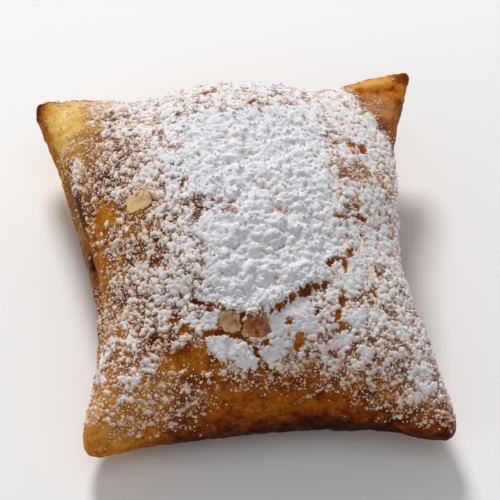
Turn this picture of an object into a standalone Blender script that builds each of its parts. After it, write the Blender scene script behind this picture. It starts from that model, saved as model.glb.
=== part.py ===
# Beignet: a square cushion of fried dough under a cake of sugar, resting on its flattened belly.
# Metres, +Z up. The near side faces -Y and the left side faces -X.

import math
import bpy
import bmesh
from mathutils import Vector, noise
from mathutils.bvhtree import BVHTree

MM = 0.001


def mm(*values):
    return tuple(value * MM for value in values)


# The four tips of the cushion: place in plan, height of the rim, half the rim's thickness there,
# how far its rounded edge stands out, how far the tip is rounded back in plan, and how thin the
# dough stays around it (0 full, 1 flat); the two falloffs say how fast both fade from the tip
TIPS = {
    "near_left": dict(
        at=mm(-36.7, -41.0), z=7.2 * MM, half=4.0 * MM, lip=2.2 * MM, blunt=3.6 * MM, thin=0.30,
    ),
    "near_right": dict(
        at=mm(40.0, -44.8), z=7.4 * MM, half=3.4 * MM, lip=1.9 * MM, blunt=3.4 * MM, thin=0.34,
    ),
    "far_left": dict(
        at=mm(-41.4, 44.5), z=14.0 * MM, half=2.0 * MM, lip=1.2 * MM, blunt=2.4 * MM, thin=0.66,
    ),
    "far_right": dict(
        at=mm(39.9, 39.5), z=19.0 * MM, half=1.6 * MM, lip=0.8 * MM, blunt=0.6 * MM, thin=0.66,
    ),
}
BLUNT_FALLOFF = 10
THIN_FALLOFF = 3

# The four sides: draw is how far the rim is drawn in from the straight line between the tips, at
# four even stations from left to right or from near to far; z, half and lip are as for the tips,
# at mid side; seam is the depth of the crease along the top of the rim, swell how far the wall
# bulges above it, square how full the shoulder is, and slope how far the wall leans in (0.5 leaves
# the rim upright)
SIDES = {
    "left": dict(
        draw=mm(7.4, 9.6, 7.6, 5.2), z=12.0 * MM, half=2.8 * MM, lip=1.4 * MM,
        seam=1.3 * MM, swell=1.2 * MM, square=2.9, slope=0.50,
    ),
    "right": dict(
        draw=mm(5.6, 9.2, 8.0, 6.2), z=13.0 * MM, half=2.4 * MM, lip=0.7 * MM,
        seam=0.2 * MM, swell=1.8 * MM, square=2.9, slope=0.50,
    ),
    "near": dict(
        draw=mm(4.4, 5.2, 6.2, 4.8), z=8.5 * MM, half=2.4 * MM, lip=0.4 * MM,
        seam=0.0, swell=0.8 * MM, square=2.9, slope=0.55,
    ),
    "far": dict(
        draw=mm(4.4, 5.0, 5.6, 4.2), z=14.0 * MM, half=2.6 * MM, lip=0.8 * MM,
        seam=0.3 * MM, swell=2.4 * MM, square=3.0, slope=0.50,
    ),
}

# How far the rim wanders up and down along its way, and how long its waves are as a share of a side
RIM_WAVE = 0.7 * MM
RIM_WAVE_LENGTH = 0.42

# Height that the top skin tends to over the middle and over each side
CROWN = dict(middle=33.0 * MM, left=28.0 * MM, right=28.0 * MM, near=25.0 * MM, far=33.5 * MM)

# Broad swellings (height above 0) and hollows (below 0) of the top skin, as places in plan with
# their reach along X and along Y
SWELLS = (
    dict(at=mm(-3.0, 34.3), reach=mm(8.0, 10.0), height=1.0 * MM),
    dict(at=mm(-16.0, 34.3), reach=mm(7.0, 10.0), height=-1.6 * MM),
    dict(at=mm(19.0, 34.3), reach=mm(6.0, 10.0), height=-1.4 * MM),
)

# Narrow ridges (height above 0) and creases (below 0) of the crust, from place to place in plan
FOLDS = (
    dict(start=mm(7.4, -36.6), end=mm(13.6, -34.8), width=0.8 * MM, height=-0.6 * MM),
    dict(start=mm(3.2, -23.6), end=mm(14.2, -18.6), width=0.9 * MM, height=-0.6 * MM),
    dict(start=mm(-3.0, -25.8), end=mm(0.9, -30.6), width=0.8 * MM, height=-0.5 * MM),
    dict(start=mm(-37.4, 41.6), end=mm(-36.6, 33.0), width=1.0 * MM, height=0.5 * MM),
    dict(start=mm(27.0, 35.4), end=mm(36.0, 38.0), width=1.0 * MM, height=0.5 * MM),
    dict(start=mm(29.0, 31.0), end=mm(36.0, 35.0), width=1.0 * MM, height=-0.4 * MM),
)

# Cake of sugar: the places across the top between which it lies, its near edge at even stations
# between them, its height there, how sharply it steps up and how far behind it thins out
CAKE_SPAN = mm(-16.0, 19.0)
CAKE_EDGE = mm(-12.0, -18.6, -23.0, -23.4, -21.4, -17.6, -12.6)
CAKE_HEIGHT = 1.2 * MM
CAKE_STEP = 1.6 * MM
CAKE_REACH = 40.0 * MM

# Lumps of the sugar and blisters of the crust
LUMP_SIZE = 3.4 * MM
LUMP_HEIGHT = 0.34 * MM
BLISTER_SIZES = mm(15.0, 6.0)
BLISTER_HEIGHTS = mm(0.8, 0.35)

# Loose flakes of crust lying on the top: place in plan, length, width, turn in degrees and how far
# the raised end curls up
FLAKES = (
    dict(at=mm(-19.9, 4.9), length=5.2 * MM, width=3.8 * MM, turn=35.0, curl=0.7 * MM),
    dict(at=mm(-5.2, -23.6), length=5.0 * MM, width=4.2 * MM, turn=80.0, curl=0.5 * MM),
    dict(at=mm(0.5, -24.7), length=4.0 * MM, width=3.4 * MM, turn=100.0, curl=0.5 * MM),
)
FLAKE_THICKNESS = 0.5 * MM
FLAKE_ROOT = 0.6 * MM
FLAKE_RAGGED = 0.12
FLAKE_TAPER = 0.25
FLAKE_CELLS = 4

# Belly: how deep the round underside would reach, and the width of the bend into its flat spot
BELLY_Z = -5.0 * MM
BELLY_BEND = 1.4 * MM

# The rim is rounded off together with this many rings of points on either side of it
RIM_NEIGHBOURS = 2
RIM_SMOOTHINGS = 3

# Mesh: cells along a side of the top, how strongly they gather at the rim, rows round the rim, and
# the belly's rings as (share of the way out from the middle, how many rim points one point spans)
TOP_CELLS = 60
GATHER = 0.62
RIM_ROWS = 3
BELLY_RINGS = (
    (1.0, 1), (0.975, 1), (0.94, 2), (0.89, 2), (0.82, 2),
    (0.73, 4), (0.62, 4), (0.50, 4), (0.36, 8), (0.20, 8),
)

CRUST_COLOR = (0.47, 0.22, 0.07, 1.0)
CRUST_ROUGHNESS = 0.55


def clear_objects():
    for old in list(bpy.data.objects):
        bpy.data.objects.remove(old)


def through(values, t):
    # smooth curve through evenly spaced values, for t from -1 to 1
    place = (t + 1) / 2 * (len(values) - 1)
    k = min(int(place), len(values) - 2)
    f = place - k
    b, c = values[k], values[k + 1]
    a = values[k - 1] if k > 0 else 2 * b - c
    d = values[k + 2] if k + 2 < len(values) else 2 * c - b
    return b + 0.5 * f * (c - a + f * (2 * a - 5 * b + 4 * c - d + f * (3 * (b - c) + d - a)))


def corner_weights(u, v):
    left, right = (1 - u) / 2, (1 + u) / 2
    near, far = (1 - v) / 2, (1 + v) / 2
    return {
        "near_left": near * left,
        "near_right": near * right,
        "far_left": far * left,
        "far_right": far * right,
    }


def side_places(u, v):
    # for each side, how near the point is to it and where along it the point lies
    return {
        "left": ((1 - u) / 2, v),
        "right": ((1 + u) / 2, v),
        "near": ((1 - v) / 2, u),
        "far": ((1 + v) / 2, u),
    }


def plan_point(u, v):
    corners = corner_weights(u, v)
    x = sum(weight * TIPS[name]["at"][0] for name, weight in corners.items())
    y = sum(weight * TIPS[name]["at"][1] for name, weight in corners.items())
    drawn = {}
    for side, (weight, along) in side_places(u, v).items():
        drawn[side] = weight * through((0.0,) + SIDES[side]["draw"] + (0.0,), along)
    x += drawn["left"] - drawn["right"]
    y += drawn["near"] - drawn["far"]
    for name, weight in corners.items():
        pull = TIPS[name]["blunt"] * weight ** BLUNT_FALLOFF
        x -= math.copysign(pull, TIPS[name]["at"][0])
        y -= math.copysign(pull, TIPS[name]["at"][1])
    return x, y


def rim_value(u, v, key):
    # blend of a value given at the tips and at the middles of the sides
    value = sum(weight * TIPS[name][key] for name, weight in corner_weights(u, v).items())
    for side, (weight, along) in side_places(u, v).items():
        ends = [TIPS[tip][key] for tip in TIPS if side in tip.split("_")]
        value += weight * (1 - along * along) * (SIDES[side][key] - sum(ends) / 2)
    if key == "z":
        value += RIM_WAVE * noise.noise(Vector((u, v, 1)) / RIM_WAVE_LENGTH)
    return value


def rise(t, side):
    # profile of a wall: 0 at the rim and steep there, 1 over the middle
    return max(0.0, 1 - abs(t) ** SIDES[side]["square"]) ** SIDES[side]["slope"]


def fullness(u, v):
    across = rise(u, "left" if u < 0 else "right")
    along = rise(v, "near" if v < 0 else "far")
    thin = 0.0
    for name, weight in corner_weights(u, v).items():
        thin += TIPS[name]["thin"] * weight ** THIN_FALLOFF
    return across * along * (1 - thin), across, along


def crown_height(u, v):
    middle = CROWN["middle"]
    z = middle + u * (CROWN["right"] - CROWN["left"]) / 2 + v * (CROWN["far"] - CROWN["near"]) / 2
    z += u * u * ((CROWN["right"] + CROWN["left"]) / 2 - middle)
    z += v * v * ((CROWN["far"] + CROWN["near"]) / 2 - middle)
    return z


def swell_offset(u, v, across, along):
    # outward push of the side walls, greatest halfway up
    push_x = SIDES["left" if u < 0 else "right"]["swell"] * 4 * across * (1 - across) * along
    push_y = SIDES["near" if v < 0 else "far"]["swell"] * 4 * along * (1 - along) * across
    return math.copysign(push_x, u), math.copysign(push_y, v)


def seam_offset(u, v):
    # inward pull of the top skin's outermost points
    pull = {side: SIDES[side]["seam"] * (1 - along ** 4) for side, (_, along) in side_places(u, v).items()}
    pull_x = {-1.0: pull["left"], 1.0: -pull["right"]}.get(u, 0.0)
    pull_y = {-1.0: pull["near"], 1.0: -pull["far"]}.get(v, 0.0)
    return pull_x, pull_y


def top_point(u, v):
    x, y = plan_point(u, v)
    full, across, along = fullness(u, v)
    base = rim_value(u, v, "z") + rim_value(u, v, "half")
    push_x, push_y = swell_offset(u, v, across, along)
    pull_x, pull_y = seam_offset(u, v)
    z = base + (crown_height(u, v) - base) * full
    return Vector((x + push_x + pull_x, y + push_y + pull_y, z))


def settle(z):
    # height above the surface it rests on, bent smoothly into a flat spot
    if z >= BELLY_BEND:
        return z
    if z <= -BELLY_BEND:
        return 0.0
    return (z + BELLY_BEND) ** 2 / (4 * BELLY_BEND)


def belly_point(u, v):
    x, y = plan_point(u, v)
    full, across, along = fullness(u, v)
    base = rim_value(u, v, "z") - rim_value(u, v, "half")
    push_x, push_y = swell_offset(u, v, across, along)
    return Vector((x + push_x * 0.5, y + push_y * 0.5, settle(base + (BELLY_Z - base) * full)))


def gathered(step):
    # grid position from -1 to 1, with the cells drawn together towards the rim
    even = 2 * step / TOP_CELLS - 1
    return (1 - GATHER) * even + GATHER * math.sin(even * math.pi / 2)


def rim_loop():
    # grid indices round the rim, counter-clockwise from the near left tip
    last = TOP_CELLS
    loop = [(i, 0) for i in range(last)]
    loop += [(last, j) for j in range(last)]
    loop += [(last - i, last) for i in range(last)]
    loop += [(0, last - j) for j in range(last)]
    return loop


def build_top(mesh):
    grid = {}
    for i in range(TOP_CELLS + 1):
        for j in range(TOP_CELLS + 1):
            grid[i, j] = mesh.verts.new(top_point(gathered(i), gathered(j)))
    for i in range(TOP_CELLS):
        for j in range(TOP_CELLS):
            mesh.faces.new((grid[i, j], grid[i + 1, j], grid[i + 1, j + 1], grid[i, j + 1]))
    return [grid[index] for index in rim_loop()]


def bridge(mesh, upper, lower):
    # faces between two closed rings, the lower one with as many or half as many points
    count = len(upper)
    if len(lower) == count:
        for k in range(count):
            after = (k + 1) % count
            mesh.faces.new((upper[k], lower[k], lower[after], upper[after]))
        return
    for k in range(0, count, 2):
        here, there = lower[k // 2], lower[(k // 2 + 1) % len(lower)]
        middle, end = upper[k + 1], upper[(k + 2) % count]
        mesh.faces.new((upper[k], here, middle))
        mesh.faces.new((middle, here, there))
        mesh.faces.new((middle, there, end))


def rim_normals(points):
    # level directions pointing out of a closed loop of rim points
    count = len(points)
    normals = []
    for k in range(count):
        along = points[(k + 1) % count] - points[k - 1]
        normals.append(Vector((along.y, -along.x, 0)).normalized())
    return normals


def build_rim(mesh, top_ring):
    # rounded band between the top skin and the belly
    loop = [(gathered(i), gathered(j)) for i, j in rim_loop()]
    middles = [Vector((*plan_point(u, v), rim_value(u, v, "z"))) for u, v in loop]
    halves = [rim_value(u, v, "half") for u, v in loop]
    lips = [rim_value(u, v, "lip") for u, v in loop]
    normals = rim_normals(middles)
    ring = top_ring
    for row in range(1, RIM_ROWS + 1):
        turn = math.pi * row / (RIM_ROWS + 1)
        new_ring = []
        for middle, half, lip, normal in zip(middles, halves, lips, normals):
            out = normal * lip * math.sin(turn)
            new_ring.append(mesh.verts.new(middle + out + Vector((0, 0, half * math.cos(turn)))))
        bridge(mesh, ring, new_ring)
        ring = new_ring
    return ring


def build_belly(mesh, last_ring):
    loop = [(gathered(i), gathered(j)) for i, j in rim_loop()]
    ring = last_ring
    for share, stride in BELLY_RINGS:
        new_ring = [mesh.verts.new(belly_point(u * share, v * share)) for u, v in loop[::stride]]
        bridge(mesh, ring, new_ring)
        ring = new_ring
    middle = mesh.verts.new(belly_point(0, 0))
    for k, vert in enumerate(ring):
        mesh.faces.new((vert, middle, ring[(k + 1) % len(ring)]))


def smooth_step(low, high, value):
    t = min(1.0, max(0.0, (value - low) / (high - low)))
    return t * t * (3 - 2 * t)


def swell_height(x, y):
    height = 0.0
    for swell in SWELLS:
        reach_x = (x - swell["at"][0]) / swell["reach"][0]
        reach_y = (y - swell["at"][1]) / swell["reach"][1]
        height += swell["height"] * math.exp(-reach_x ** 2 - reach_y ** 2)
    return height


def fold_height(x, y):
    height = 0.0
    for fold in FOLDS:
        start, end = Vector(fold["start"]), Vector(fold["end"])
        run = end - start
        share = min(1.0, max(0.0, (Vector((x, y)) - start).dot(run) / run.length_squared))
        away = (Vector((x, y)) - start - run * share).length
        height += fold["height"] * math.exp(-(away / fold["width"]) ** 2)
    return height


def cake_cover(x, y):
    # 1 on the cake's near edge, fading behind it and to its sides, 0 in front of it
    first, last = CAKE_SPAN
    t = 2 * (x - first) / (last - first) - 1
    if abs(t) >= 1:
        return 0.0
    behind = y - through(CAKE_EDGE, t)
    return smooth_step(0.0, CAKE_STEP, behind) * math.exp(-(behind / CAKE_REACH) ** 2) * (1 - t * t)


def blister_height(point):
    shifted = point + Vector(mm(7, 3, 5))
    return sum(
        height * noise.noise(shifted / size) for size, height in zip(BLISTER_SIZES, BLISTER_HEIGHTS)
    )


def relief_height(point, facing_up):
    cover = cake_cover(point.x, point.y) * facing_up
    height = (swell_height(point.x, point.y) + fold_height(point.x, point.y)) * facing_up
    height += CAKE_HEIGHT * cover
    height += LUMP_HEIGHT * noise.noise(point / LUMP_SIZE) * cover
    return height + blister_height(point)


def add_relief(mesh, top_ring, rim_ring):
    # the rim itself stays as it is, so that its crease keeps its line
    mesh.normal_update()
    still = {vert.index for vert in top_ring + rim_ring}
    moves = []
    for vert in mesh.verts:
        facing_up = smooth_step(-0.1, 0.5, vert.normal.z)
        moves.append(vert.normal * relief_height(vert.co, facing_up))
    for vert, move in zip(mesh.verts, moves):
        if vert.co.z > 0 and vert.index not in still:
            vert.co += move
            vert.co.z = max(0.0, vert.co.z)


def round_off_rim(mesh, rim):
    near_rim = set(rim)
    for _ in range(RIM_NEIGHBOURS):
        near_rim |= {edge.other_vert(vert) for vert in near_rim for edge in vert.link_edges}
    for _ in range(RIM_SMOOTHINGS):
        bmesh.ops.smooth_vert(
            mesh, verts=list(near_rim), factor=0.5, use_axis_x=True, use_axis_y=True, use_axis_z=True,
        )


def new_object(name, mesh):
    data = bpy.data.meshes.new(name)
    mesh.to_mesh(data)
    mesh.free()
    thing = bpy.data.objects.new(name, data)
    bpy.context.scene.collection.objects.link(thing)
    return thing


def build_cushion():
    mesh = bmesh.new()
    top_ring = build_top(mesh)
    rim_ring = build_rim(mesh, top_ring)
    build_belly(mesh, rim_ring)
    mesh.verts.index_update()
    add_relief(mesh, top_ring, rim_ring)
    round_off_rim(mesh, top_ring + rim_ring)
    bmesh.ops.triangulate(mesh, faces=mesh.faces[:])
    return new_object("beignet", mesh)


def flake_point(flake, skin, i, j, lift):
    # one grid point of a flake, following the crust below it
    a, b = 2 * i / FLAKE_CELLS - 1, 2 * j / FLAKE_CELLS - 1
    ragged = 1 - FLAKE_RAGGED * math.cos(2.3 * i + 1.7 * j)
    along = a * flake["length"] / 2 * ragged
    across = b * flake["width"] / 2 * ragged * (1 - FLAKE_TAPER * a * a)
    turn = math.radians(flake["turn"])
    x = flake["at"][0] + along * math.cos(turn) - across * math.sin(turn)
    y = flake["at"][1] + along * math.sin(turn) + across * math.cos(turn)
    ground = skin.ray_cast(Vector((x, y, 1)), Vector((0, 0, -1)))[0]
    curl = flake["curl"] * smooth_step(0, 1, a) if lift > 0 else 0.0
    return Vector((x, y, ground.z + lift + curl))


def build_flake(flake, skin):
    mesh = bmesh.new()
    layers = []
    for lift in (FLAKE_THICKNESS, -FLAKE_ROOT):
        layers.append({
            (i, j): mesh.verts.new(flake_point(flake, skin, i, j, lift))
            for i in range(FLAKE_CELLS + 1) for j in range(FLAKE_CELLS + 1)
        })
    upper, lower = layers
    for i in range(FLAKE_CELLS):
        for j in range(FLAKE_CELLS):
            cell = ((i, j), (i + 1, j), (i + 1, j + 1), (i, j + 1))
            mesh.faces.new([upper[c] for c in cell])
            mesh.faces.new([lower[c] for c in reversed(cell)])
    last = FLAKE_CELLS
    edge = [(i, 0) for i in range(last)] + [(last, j) for j in range(last)]
    edge += [(last - i, last) for i in range(last)] + [(0, last - j) for j in range(last)]
    bridge(mesh, [upper[c] for c in edge], [lower[c] for c in edge])
    bmesh.ops.triangulate(mesh, faces=mesh.faces[:])
    return new_object("flake", mesh)


def fuse_flakes(cushion):
    bpy.context.view_layer.update()
    skin = BVHTree.FromObject(cushion, bpy.context.evaluated_depsgraph_get())
    for flake in [build_flake(flake, skin) for flake in FLAKES]:
        union = cushion.modifiers.new("flake", "BOOLEAN")
        union.operation = "UNION"
        union.object = flake
        bpy.context.view_layer.update()
        shape = bpy.data.meshes.new_from_object(cushion.evaluated_get(bpy.context.evaluated_depsgraph_get()))
        cushion.modifiers.clear()
        cushion.data = shape
        bpy.data.objects.remove(flake)


def centre_on_origin(thing):
    # the middle of the object's box in plan goes over the origin
    xs = [vert.co.x for vert in thing.data.vertices]
    ys = [vert.co.y for vert in thing.data.vertices]
    middle = Vector(((min(xs) + max(xs)) / 2, (min(ys) + max(ys)) / 2, 0))
    for vert in thing.data.vertices:
        vert.co -= middle


def crust_material():
    material = bpy.data.materials.new("fried crust")
    material.use_nodes = True
    shader = material.node_tree.nodes["Principled BSDF"]
    shader.inputs["Base Color"].default_value = CRUST_COLOR
    shader.inputs["Roughness"].default_value = CRUST_ROUGHNESS
    shader.inputs["Metallic"].default_value = 0.0
    return material


def main():
    clear_objects()
    beignet = build_cushion()
    fuse_flakes(beignet)
    centre_on_origin(beignet)
    beignet.data.name = "beignet"
    beignet.data.materials.clear()
    beignet.data.materials.append(crust_material())
    beignet.data.shade_smooth()


main()
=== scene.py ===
import itertools
import math

import bmesh
import bpy
import numpy as np
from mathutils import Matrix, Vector
from mathutils.bvhtree import BVHTree


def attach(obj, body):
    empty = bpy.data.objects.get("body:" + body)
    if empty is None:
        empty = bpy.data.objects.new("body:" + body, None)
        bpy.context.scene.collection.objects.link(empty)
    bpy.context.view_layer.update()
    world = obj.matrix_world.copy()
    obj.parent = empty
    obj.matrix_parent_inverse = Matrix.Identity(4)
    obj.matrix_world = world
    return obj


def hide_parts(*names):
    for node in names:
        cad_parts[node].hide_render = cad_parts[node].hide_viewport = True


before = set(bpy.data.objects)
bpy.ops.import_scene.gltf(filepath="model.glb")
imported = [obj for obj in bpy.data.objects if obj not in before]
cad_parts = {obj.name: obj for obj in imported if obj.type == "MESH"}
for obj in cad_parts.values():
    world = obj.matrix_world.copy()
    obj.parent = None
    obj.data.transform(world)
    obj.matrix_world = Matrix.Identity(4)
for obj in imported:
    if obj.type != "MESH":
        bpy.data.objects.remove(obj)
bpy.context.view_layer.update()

mm = 0.001
print("frame loaded")


# noise in millimetres, the same on every run

tableSize = 256
lastRow = tableSize - 1
seedStep = 37
noiseSwing = 2.2    # brings the soft noise to about -1 to 1
luck = np.random.default_rng(11)
shuffled = luck.permutation(tableSize)
slopes = luck.normal(size=(tableSize, 3))
slopes /= np.linalg.norm(slopes, axis=1)[:, None]
scatterSpots = luck.random((tableSize, 3))
lumpDrop = luck.random(tableSize)
raggedness = [(2.6, 0.35, 41), (1.0, 0.42, 43), (0.5, 0.26, 45)]    # size, reach, seed


def cellNumber(cell, seed):
    first = shuffled[(cell[:, 0] + seedStep * seed) & lastRow]
    second = shuffled[(first + cell[:, 1]) & lastRow]
    return shuffled[(second + cell[:, 2]) & lastRow]


def softNoise(places, size, seed):
    # rolling ups and downs of about one size
    scaled = places / size
    cell = np.floor(scaled).astype(int)
    inside = scaled - cell
    fade = inside ** 3 * (inside * (inside * 6 - 15) + 10)
    total = np.zeros(len(places))
    for corner in itertools.product((0, 1), repeat=3):
        step = np.array(corner)
        slope = slopes[cellNumber(cell + step, seed)]
        weight = np.where(step == 1, fade, 1 - fade).prod(axis=1)
        total += weight * ((inside - step) * slope).sum(axis=1)
    return total * noiseSwing


def lumpNoise(places, size, seed, uneven=0.0):
    # rounded lumps side by side: 1 on a lump's crown, 0 far from any; the uneven ones are lower by chance
    scaled = places / size
    cell = np.floor(scaled).astype(int)
    lowest = np.ones(len(places))
    for corner in itertools.product((-1, 0, 1), repeat=3):
        near = cell + np.array(corner)
        number = cellNumber(near, seed)
        away = ((scaled - near - scatterSpots[number]) ** 2).sum(axis=1)
        lowest = np.minimum(lowest, away + uneven * lumpDrop[number])
    return 1 - lowest


def layered(noise, places, layers):
    # several noises added up; a layer is its height, size and seed, and for lumps how uneven they are
    return sum(height * noise(places, *rest) for height, *rest in layers)


def tallest(places, layers):
    return np.maximum.reduce([height * lumpNoise(places, *rest) for height, *rest in layers])


def ragged(places):
    # the places pushed about a little, so that outlines drawn with them come out uneven
    moved = places.copy()
    for size, reach, seed in raggedness:
        moved[:, 0] += reach * softNoise(places, size, seed)
        moved[:, 1] += reach * softNoise(places, size, seed + 1)
    return moved


# shapes that mark places on the pastry, in millimetres

def easeIn(value, low, high):
    share = np.clip((value - low) / (high - low), 0, 1)
    return share * share * (3 - 2 * share)


def oval(places, spot):
    # 1 in the middle of an oval seen from above, 0 outside it
    x, y, long, wide, turn = spot[:5]
    angle = math.radians(turn)
    across = places[:, 0] - x
    along = places[:, 1] - y
    u = (across * math.cos(angle) + along * math.sin(angle)) / long
    v = (along * math.cos(angle) - across * math.sin(angle)) / wide
    return 1 - easeIn(np.hypot(u, v), 0.35, 1.0)


def awayFromLine(places, line):
    # distance from a bent line, in space where it has three numbers a point, and seen from above otherwise
    size = len(line[0])
    best = np.full(len(places), 1e9)
    for start, end in zip(line[:-1], line[1:]):
        start, end = np.array(start, float), np.array(end, float)
        run = end - start
        rel = places[:, :size] - start
        share = np.clip(rel @ run / (run @ run), 0, 1)
        best = np.minimum(best, np.linalg.norm(rel - share[:, None] * run, axis=1))
    return best


def stroke(places, line, width):
    return np.exp(-(awayFromLine(places, line) / width) ** 2)


def strokes(places, marks, rows):
    # changes along lines; a row is a line, its width and the change, and lines seen from above run ragged
    total = 0
    for line, width, change in rows:
        total = total + change * stroke(marks if len(line[0]) == 2 else places, line, width)
    return total


# mesh helpers

def readMesh(mesh):
    count = len(mesh.vertices)
    places, normals = np.empty(count * 3), np.empty(count * 3)
    mesh.vertices.foreach_get("co", places)
    mesh.vertex_normals.foreach_get("vector", normals)
    corners = np.empty(len(mesh.loops), int)
    mesh.loops.foreach_get("vertex_index", corners)
    return places.reshape(-1, 3) / mm, normals.reshape(-1, 3), corners.reshape(len(mesh.polygons), -1)


def addObject(name, data):
    thing = bpy.data.objects.new(name, data)
    bpy.context.scene.collection.objects.link(thing)
    return thing


def buildMesh(name, places, faces, material=None):
    mesh = bpy.data.meshes.new(name)
    mesh.from_pydata((places * mm).tolist(), [], faces if isinstance(faces, list) else faces.tolist())
    mesh.shade_smooth()
    if material:
        mesh.materials.append(material)
    return addObject(name, mesh)


def storeValues(piece, values):
    # numbers for each point, by name, for the materials to read
    for name, numbers in values.items():
        layer = piece.data.attributes.new(name, "FLOAT", "POINT")
        layer.data.foreach_set("value", np.ascontiguousarray(numbers, dtype=np.float32))


def bakeModifiers(piece):
    # swaps the piece's mesh for the modified one and drops the modifiers
    bpy.context.view_layer.update()
    shaped = piece.evaluated_get(bpy.context.evaluated_depsgraph_get())
    mesh = bpy.data.meshes.new_from_object(shaped)
    piece.modifiers.clear()
    piece.data = mesh
    mesh.name = piece.name
    return piece


def triangleCount(piece):
    return sum(len(face.vertices) - 2 for face in piece.data.polygons)


# shader helpers

def newMaterial(name):
    material = bpy.data.materials.new(name)
    material.use_nodes = True
    tree = material.node_tree
    tree.nodes.clear()
    surface = tree.nodes.new("ShaderNodeBsdfPrincipled")
    output = tree.nodes.new("ShaderNodeOutputMaterial")
    tree.links.new(surface.outputs["BSDF"], output.inputs["Surface"])
    return material, tree, surface


def setInputs(tree, node, values):
    for key, value in values.items():
        if isinstance(value, bpy.types.NodeSocket):
            tree.links.new(value, node.inputs[key])
        else:
            node.inputs[key].default_value = value


def addNode(tree, kind, values=None, **settings):
    node = tree.nodes.new(kind)
    for key, value in settings.items():
        setattr(node, key, value)
    setInputs(tree, node, values or {})
    return node


def calculate(tree, operation, *values, **settings):
    node = addNode(tree, "ShaderNodeMath", dict(enumerate(values)), operation=operation, **settings)
    return node.outputs[0]


def noiseNode(tree, place, scale, detail, roughness=0.5):
    return addNode(tree, "ShaderNodeTexNoise", {"Vector": place, "Scale": scale, "Detail": detail,
                                                "Roughness": roughness}).outputs["Fac"]


def rangeNode(tree, value, low, high):
    return addNode(tree, "ShaderNodeMapRange", {"Value": value, "To Min": low, "To Max": high}).outputs[0]


def mixColours(tree, share, first, second):
    node = addNode(tree, "ShaderNodeMix", {"Factor": share, 6: first, 7: second}, data_type="RGBA")
    return node.outputs[2]


def attributeNode(tree, name):
    return addNode(tree, "ShaderNodeAttribute", attribute_name=name).outputs["Fac"]


def linearColour(red, green, blue):
    # from the screen's numbers of 0 to 255
    def lift(part):
        part /= 255
        return part / 12.92 if part <= 0.04045 else ((part + 0.055) / 1.055) ** 2.4
    return (lift(red), lift(green), lift(blue), 1)


def addSocket(tree, name, kind, side="INPUT"):
    return tree.interface.new_socket(name=name, in_out=side, socket_type="NodeSocket" + kind)


def makeGroup(name, inputs, output, kind):
    # a group takes a place and some numbers, and puts out one thing
    group = bpy.data.node_groups.new(name, "ShaderNodeTree")
    addSocket(group, "Vector", "Vector")
    for title, value in inputs.items():
        addSocket(group, title, "Float").default_value = value
    addSocket(group, output, kind, "OUTPUT")
    return group, group.nodes.new("NodeGroupInput").outputs, group.nodes.new("NodeGroupOutput")


def useGroup(tree, group, place, values):
    node = tree.nodes.new("ShaderNodeGroup")
    node.node_tree = group
    setInputs(tree, node, {"Vector": place, **values})
    return node.outputs[0]


def fineGrainGroup():
    # a grainy height, with grains of one size and finer ones on them
    group, given, result = makeGroup("fineGrain", {"Grain size": 0.4 * mm, "Roughness": 0.6},
                                     "Height", "Float")
    scale = calculate(group, "DIVIDE", 1.0, given["Grain size"])
    setInputs(group, result, {"Height": noiseNode(group, given["Vector"], scale, 3.0, given["Roughness"])})
    return group


crustLook = {
    "rustColours": [(0.0, (240, 214, 165)), (0.2, (224, 170, 94)), (0.4, (208, 137, 42)),
                    (0.6, (172, 94, 15)), (0.74, (136, 62, 7)), (0.87, (98, 39, 4)), (1.0, (46, 18, 2))],
    "ochreColours": [(0.0, (244, 226, 172)), (0.2, (224, 188, 112)), (0.4, (200, 150, 60)),
                     (0.6, (166, 108, 26)), (0.74, (134, 76, 11)), (0.87, (98, 48, 6)), (1.0, (46, 20, 3))],
    "dustColour": (176, 144, 128),
    "mottles": (2.4 * mm, 0.48),     # size, and how far they change the browning
    "freckles": (0.6 * mm, 0.32),
    "grain": {"Grain size": 0.9 * mm, "Roughness": 0.65},
    "powderHeight": 0.4,             # how high the powder stands in the bumps
    "bumpHeight": 0.07 * mm,
    "bumpStrength": 0.6,
    "roughness": (0.5, 0.9),         # bare, and under powder
    "surface": {"Subsurface Weight": 0.12, "Subsurface Radius": (1.0, 0.45, 0.2),
                "Subsurface Scale": 1.2 * mm, "Specular IOR Level": 0.04},
}


def colourRamp(tree, level, colours):
    ramp = addNode(tree, "ShaderNodeValToRGB", {"Fac": level})
    stops = ramp.color_ramp.elements
    while len(stops) < len(colours):
        stops.new(0.5)
    for stop, (position, colour) in zip(stops, colours):
        stop.position = position
        stop.color = linearColour(*colour)
    return ramp.outputs["Color"]


def bakedColourGroup():
    # the crust's colour from how far it is baked (painted shade and highlights included), how ochre and how
    # dusty it is, with mottles and freckles
    group, given, result = makeGroup("bakedColour", {"Bake": 0.6, "Ochre": 0.0, "Dust": 0.0},
                                     "Color", "Color")
    level = given["Bake"]
    for size, share in (crustLook["mottles"], crustLook["freckles"]):
        noise = noiseNode(group, given["Vector"], 1 / size, 3.0, 0.62)
        level = calculate(group, "MULTIPLY_ADD", calculate(group, "SUBTRACT", noise, 0.5), share, level)
    rust, ochre = [colourRamp(group, level, crustLook[name]) for name in ("rustColours", "ochreColours")]
    mixed = mixColours(group, given["Ochre"], rust, ochre)
    dusty = mixColours(group, given["Dust"], mixed, linearColour(*crustLook["dustColour"]))
    setInputs(group, result, {"Color": dusty})
    return group


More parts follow.
